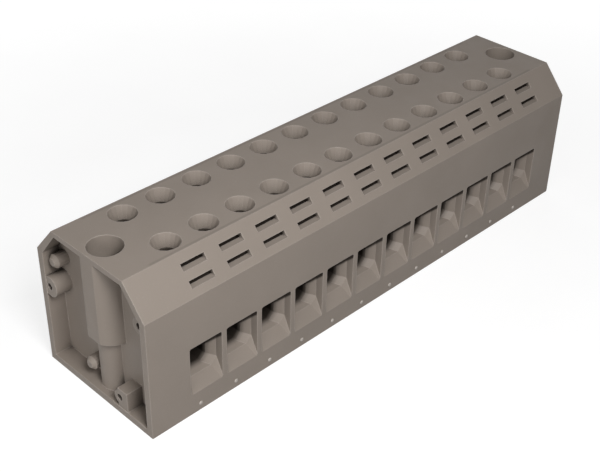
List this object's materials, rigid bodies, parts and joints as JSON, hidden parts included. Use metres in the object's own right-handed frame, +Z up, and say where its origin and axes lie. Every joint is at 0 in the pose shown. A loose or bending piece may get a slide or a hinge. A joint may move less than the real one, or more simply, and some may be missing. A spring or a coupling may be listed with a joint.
{
  "type": "terminal block",
  "caption": "Long closed electrical terminal block with two rows of screw clamps, funnelled screwdriver holes, marker pockets and wire entries along both sides.",
  "frame": {"origin": "middle of the underside", "axes": "+X along the block, +Y from the front wire entries to the back ones, +Z up"},
  "size_m": [0.1668, 0.0428, 0.0444],
  "materials": {
    "housing_plastic": "matt taupe moulding",
    "strip_plastic": "matt taupe moulding",
    "bar_brass": "plain drawn",
    "screw_steel": "zinc plated",
    "cage_steel": "zinc plated"
  },
  "bodies": {
    "block": {"housing": "housing_plastic", "base_strip": "strip_plastic", "current_bars": "bar_brass"},
    "clamp_screw_front_01": {"clamp_screw_front_01": "screw_steel"},
    "clamp_cage_front_01": {"clamp_cage_front_01": "cage_steel"},
    "clamp_screw_front_02": {"clamp_screw_front_02": "screw_steel"},
    "clamp_cage_front_02": {"clamp_cage_front_02": "cage_steel"},
    "clamp_screw_front_03": {"clamp_screw_front_03": "screw_steel"},
    "clamp_cage_front_03": {"clamp_cage_front_03": "cage_steel"},
    "clamp_screw_front_04": {"clamp_screw_front_04": "screw_steel"},
    "clamp_cage_front_04": {"clamp_cage_front_04": "cage_steel"},
    "clamp_screw_front_05": {"clamp_screw_front_05": "screw_steel"},
    "clamp_cage_front_05": {"clamp_cage_front_05": "cage_steel"},
    "clamp_screw_front_06": {"clamp_screw_front_06": "screw_steel"},
    "clamp_cage_front_06": {"clamp_cage_front_06": "cage_steel"},
    "clamp_screw_front_07": {"clamp_screw_front_07": "screw_steel"},
    "clamp_cage_front_07": {"clamp_cage_front_07": "cage_steel"},
    "clamp_screw_front_08": {"clamp_screw_front_08": "screw_steel"},
    "clamp_cage_front_08": {"clamp_cage_front_08": "cage_steel"},
    "clamp_screw_front_09": {"clamp_screw_front_09": "screw_steel"},
    "clamp_cage_front_09": {"clamp_cage_front_09": "cage_steel"},
    "clamp_screw_front_10": {"clamp_screw_front_10": "screw_steel"},
    "clamp_cage_front_10": {"clamp_cage_front_10": "cage_steel"},
    "clamp_screw_front_11": {"clamp_screw_front_11": "screw_steel"},
    "clamp_cage_front_11": {"clamp_cage_front_11": "cage_steel"},
    "clamp_screw_front_12": {"clamp_screw_front_12": "screw_steel"},
    "clamp_cage_front_12": {"clamp_cage_front_12": "cage_steel"},
    "clamp_screw_back_01": {"clamp_screw_back_01": "screw_steel"},
    "clamp_cage_back_01": {"clamp_cage_back_01": "cage_steel"},
    "clamp_screw_back_02": {"clamp_screw_back_02": "screw_steel"},
    "clamp_cage_back_02": {"clamp_cage_back_02": "cage_steel"},
    "clamp_screw_back_03": {"clamp_screw_back_03": "screw_steel"},
    "clamp_cage_back_03": {"clamp_cage_back_03": "cage_steel"},
    "clamp_screw_back_04": {"clamp_screw_back_04": "screw_steel"},
    "clamp_cage_back_04": {"clamp_cage_back_04": "cage_steel"},
    "clamp_screw_back_05": {"clamp_screw_back_05": "screw_steel"},
    "clamp_cage_back_05": {"clamp_cage_back_05": "cage_steel"},
    "clamp_screw_back_06": {"clamp_screw_back_06": "screw_steel"},
    "clamp_cage_back_06": {"clamp_cage_back_06": "cage_steel"},
    "clamp_screw_back_07": {"clamp_screw_back_07": "screw_steel"},
    "clamp_cage_back_07": {"clamp_cage_back_07": "cage_steel"},
    "clamp_screw_back_08": {"clamp_screw_back_08": "screw_steel"},
    "clamp_cage_back_08": {"clamp_cage_back_08": "cage_steel"},
    "clamp_screw_back_09": {"clamp_screw_back_09": "screw_steel"},
    "clamp_cage_back_09": {"clamp_cage_back_09": "cage_steel"},
    "clamp_screw_back_10": {"clamp_screw_back_10": "screw_steel"},
    "clamp_cage_back_10": {"clamp_cage_back_10": "cage_steel"},
    "clamp_screw_back_11": {"clamp_screw_back_11": "screw_steel"},
    "clamp_cage_back_11": {"clamp_cage_back_11": "cage_steel"},
    "clamp_screw_back_12": {"clamp_screw_back_12": "screw_steel"},
    "clamp_cage_back_12": {"clamp_cage_back_12": "cage_steel"}
  },
  "joints": [
    {"name": "turn_front_01", "type": "hinge", "parent": "block", "child": "clamp_screw_front_01", "pos_m": [-0.066, -0.0084, 0.03], "axis": [0, 0, -1], "range_deg": [0, 4114.3]},
    {"name": "rise_front_01", "type": "slide", "parent": "block", "child": "clamp_cage_front_01", "axis": [0, 0, 1], "range_m": [0, 0.008]},
    {"name": "turn_front_02", "type": "hinge", "parent": "block", "child": "clamp_screw_front_02", "pos_m": [-0.054, -0.0084, 0.03], "axis": [0, 0, -1], "range_deg": [0, 4114.3]},
    {"name": "rise_front_02", "type": "slide", "parent": "block", "child": "clamp_cage_front_02", "axis": [0, 0, 1], "range_m": [0, 0.008]},
    {"name": "turn_front_03", "type": "hinge", "parent": "block", "child": "clamp_screw_front_03", "pos_m": [-0.042, -0.0084, 0.03], "axis": [0, 0, -1], "range_deg": [0, 4114.3]},
    {"name": "rise_front_03", "type": "slide", "parent": "block", "child": "clamp_cage_front_03", "axis": [0, 0, 1], "range_m": [0, 0.008]},
    {"name": "turn_front_04", "type": "hinge", "parent": "block", "child": "clamp_screw_front_04", "pos_m": [-0.03, -0.0084, 0.03], "axis": [0, 0, -1], "range_deg": [0, 4114.3]},
    {"name": "rise_front_04", "type": "slide", "parent": "block", "child": "clamp_cage_front_04", "axis": [0, 0, 1], "range_m": [0, 0.008]},
    {"name": "turn_front_05", "type": "hinge", "parent": "block", "child": "clamp_screw_front_05", "pos_m": [-0.018, -0.0084, 0.03], "axis": [0, 0, -1], "range_deg": [0, 4114.3]},
    {"name": "rise_front_05", "type": "slide", "parent": "block", "child": "clamp_cage_front_05", "axis": [0, 0, 1], "range_m": [0, 0.008]},
    {"name": "turn_front_06", "type": "hinge", "parent": "block", "child": "clamp_screw_front_06", "pos_m": [-0.006, -0.0084, 0.03], "axis": [0, 0, -1], "range_deg": [0, 4114.3]},
    {"name": "rise_front_06", "type": "slide", "parent": "block", "child": "clamp_cage_front_06", "axis": [0, 0, 1], "range_m": [0, 0.008]},
    {"name": "turn_front_07", "type": "hinge", "parent": "block", "child": "clamp_screw_front_07", "pos_m": [0.006, -0.0084, 0.03], "axis": [0, 0, -1], "range_deg": [0, 4114.3]},
    {"name": "rise_front_07", "type": "slide", "parent": "block", "child": "clamp_cage_front_07", "axis": [0, 0, 1], "range_m": [0, 0.008]},
    {"name": "turn_front_08", "type": "hinge", "parent": "block", "child": "clamp_screw_front_08", "pos_m": [0.018, -0.0084, 0.03], "axis": [0, 0, -1], "range_deg": [0, 4114.3]},
    {"name": "rise_front_08", "type": "slide", "parent": "block", "child": "clamp_cage_front_08", "axis": [0, 0, 1], "range_m": [0, 0.008]},
    {"name": "turn_front_09", "type": "hinge", "parent": "block", "child": "clamp_screw_front_09", "pos_m": [0.03, -0.0084, 0.03], "axis": [0, 0, -1], "range_deg": [0, 4114.3]},
    {"name": "rise_front_09", "type": "slide", "parent": "block", "child": "clamp_cage_front_09", "axis": [0, 0, 1], "range_m": [0, 0.008]},
    {"name": "turn_front_10", "type": "hinge", "parent": "block", "child": "clamp_screw_front_10", "pos_m": [0.042, -0.0084, 0.03], "axis": [0, 0, -1], "range_deg": [0, 4114.3]},
    {"name": "rise_front_10", "type": "slide", "parent": "block", "child": "clamp_cage_front_10", "axis": [0, 0, 1], "range_m": [0, 0.008]},
    {"name": "turn_front_11", "type": "hinge", "parent": "block", "child": "clamp_screw_front_11", "pos_m": [0.054, -0.0084, 0.03], "axis": [0, 0, -1], "range_deg": [0, 4114.3]},
    {"name": "rise_front_11", "type": "slide", "parent": "block", "child": "clamp_cage_front_11", "axis": [0, 0, 1], "range_m": [0, 0.008]},
    {"name": "turn_front_12", "type": "hinge", "parent": "block", "child": "clamp_screw_front_12", "pos_m": [0.066, -0.0084, 0.03], "axis": [0, 0, -1], "range_deg": [0, 4114.3]},
    {"name": "rise_front_12", "type": "slide", "parent": "block", "child": "clamp_cage_front_12", "axis": [0, 0, 1], "range_m": [0, 0.008]},
    {"name": "turn_back_01", "type": "hinge", "parent": "block", "child": "clamp_screw_back_01", "pos_m": [-0.066, 0.0084, 0.03], "axis": [0, 0, -1], "range_deg": [0, 4114.3]},
    {"name": "rise_back_01", "type": "slide", "parent": "block", "child": "clamp_cage_back_01", "axis": [0, 0, 1], "range_m": [0, 0.008]},
    {"name": "turn_back_02", "type": "hinge", "parent": "block", "child": "clamp_screw_back_02", "pos_m": [-0.054, 0.0084, 0.03], "axis": [0, 0, -1], "range_deg": [0, 4114.3]},
    {"name": "rise_back_02", "type": "slide", "parent": "block", "child": "clamp_cage_back_02", "axis": [0, 0, 1], "range_m": [0, 0.008]},
    {"name": "turn_back_03", "type": "hinge", "parent": "block", "child": "clamp_screw_back_03", "pos_m": [-0.042, 0.0084, 0.03], "axis": [0, 0, -1], "range_deg": [0, 4114.3]},
    {"name": "rise_back_03", "type": "slide", "parent": "block", "child": "clamp_cage_back_03", "axis": [0, 0, 1], "range_m": [0, 0.008]},
    {"name": "turn_back_04", "type": "hinge", "parent": "block", "child": "clamp_screw_back_04", "pos_m": [-0.03, 0.0084, 0.03], "axis": [0, 0, -1], "range_deg": [0, 4114.3]},
    {"name": "rise_back_04", "type": "slide", "parent": "block", "child": "clamp_cage_back_04", "axis": [0, 0, 1], "range_m": [0, 0.008]},
    {"name": "turn_back_05", "type": "hinge", "parent": "block", "child": "clamp_screw_back_05", "pos_m": [-0.018, 0.0084, 0.03], "axis": [0, 0, -1], "range_deg": [0, 4114.3]},
    {"name": "rise_back_05", "type": "slide", "parent": "block", "child": "clamp_cage_back_05", "axis": [0, 0, 1], "range_m": [0, 0.008]},
    {"name": "turn_back_06", "type": "hinge", "parent": "block", "child": "clamp_screw_back_06", "pos_m": [-0.006, 0.0084, 0.03], "axis": [0, 0, -1], "range_deg": [0, 4114.3]},
    {"name": "rise_back_06", "type": "slide", "parent": "block", "child": "clamp_cage_back_06", "axis": [0, 0, 1], "range_m": [0, 0.008]},
    {"name": "turn_back_07", "type": "hinge", "parent": "block", "child": "clamp_screw_back_07", "pos_m": [0.006, 0.0084, 0.03], "axis": [0, 0, -1], "range_deg": [0, 4114.3]},
    {"name": "rise_back_07", "type": "slide", "parent": "block", "child": "clamp_cage_back_07", "axis": [0, 0, 1], "range_m": [0, 0.008]},
    {"name": "turn_back_08", "type": "hinge", "parent": "block", "child": "clamp_screw_back_08", "pos_m": [0.018, 0.0084, 0.03], "axis": [0, 0, -1], "range_deg": [0, 4114.3]},
    {"name": "rise_back_08", "type": "slide", "parent": "block", "child": "clamp_cage_back_08", "axis": [0, 0, 1], "range_m": [0, 0.008]},
    {"name": "turn_back_09", "type": "hinge", "parent": "block", "child": "clamp_screw_back_09", "pos_m": [0.03, 0.0084, 0.03], "axis": [0, 0, -1], "range_deg": [0, 4114.3]},
    {"name": "rise_back_09", "type": "slide", "parent": "block", "child": "clamp_cage_back_09", "axis": [0, 0, 1], "range_m": [0, 0.008]},
    {"name": "turn_back_10", "type": "hinge", "parent": "block", "child": "clamp_screw_back_10", "pos_m": [0.042, 0.0084, 0.03], "axis": [0, 0, -1], "range_deg": [0, 4114.3]},
    {"name": "rise_back_10", "type": "slide", "parent": "block", "child": "clamp_cage_back_10", "axis": [0, 0, 1], "range_m": [0, 0.008]},
    {"name": "turn_back_11", "type": "hinge", "parent": "block", "child": "clamp_screw_back_11", "pos_m": [0.054, 0.0084, 0.03], "axis": [0, 0, -1], "range_deg": [0, 4114.3]},
    {"name": "rise_back_11", "type": "slide", "parent": "block", "child": "clamp_cage_back_11", "axis": [0, 0, 1], "range_m": [0, 0.008]},
    {"name": "turn_back_12", "type": "hinge", "parent": "block", "child": "clamp_screw_back_12", "pos_m": [0.066, 0.0084, 0.03], "axis": [0, 0, -1], "range_deg": [0, 4114.3]},
    {"name": "rise_back_12", "type": "slide", "parent": "block", "child": "clamp_cage_back_12", "axis": [0, 0, 1], "range_m": [0, 0.008]}
  ],
  "couplings": [
    {"joint": "turn_front_01", "follows": "rise_front_01", "rad_per_m": 8976},
    {"joint": "turn_front_02", "follows": "rise_front_02", "rad_per_m": 8976},
    {"joint": "turn_front_03", "follows": "rise_front_03", "rad_per_m": 8976},
    {"joint": "turn_front_04", "follows": "rise_front_04", "rad_per_m": 8976},
    {"joint": "turn_front_05", "follows": "rise_front_05", "rad_per_m": 8976},
    {"joint": "turn_front_06", "follows": "rise_front_06", "rad_per_m": 8976},
    {"joint": "turn_front_07", "follows": "rise_front_07", "rad_per_m": 8976},
    {"joint": "turn_front_08", "follows": "rise_front_08", "rad_per_m": 8976},
    {"joint": "turn_front_09", "follows": "rise_front_09", "rad_per_m": 8976},
    {"joint": "turn_front_10", "follows": "rise_front_10", "rad_per_m": 8976},
    {"joint": "turn_front_11", "follows": "rise_front_11", "rad_per_m": 8976},
    {"joint": "turn_front_12", "follows": "rise_front_12", "rad_per_m": 8976},
    {"joint": "turn_back_01", "follows": "rise_back_01", "rad_per_m": 8976},
    {"joint": "turn_back_02", "follows": "rise_back_02", "rad_per_m": 8976},
    {"joint": "turn_back_03", "follows": "rise_back_03", "rad_per_m": 8976},
    {"joint": "turn_back_04", "follows": "rise_back_04", "rad_per_m": 8976},
    {"joint": "turn_back_05", "follows": "rise_back_05", "rad_per_m": 8976},
    {"joint": "turn_back_06", "follows": "rise_back_06", "rad_per_m": 8976},
    {"joint": "turn_back_07", "follows": "rise_back_07", "rad_per_m": 8976},
    {"joint": "turn_back_08", "follows": "rise_back_08", "rad_per_m": 8976},
    {"joint": "turn_back_09", "follows": "rise_back_09", "rad_per_m": 8976},
    {"joint": "turn_back_10", "follows": "rise_back_10", "rad_per_m": 8976},
    {"joint": "turn_back_11", "follows": "rise_back_11", "rad_per_m": 8976},
    {"joint": "turn_back_12", "follows": "rise_back_12", "rad_per_m": 8976}
  ]
}
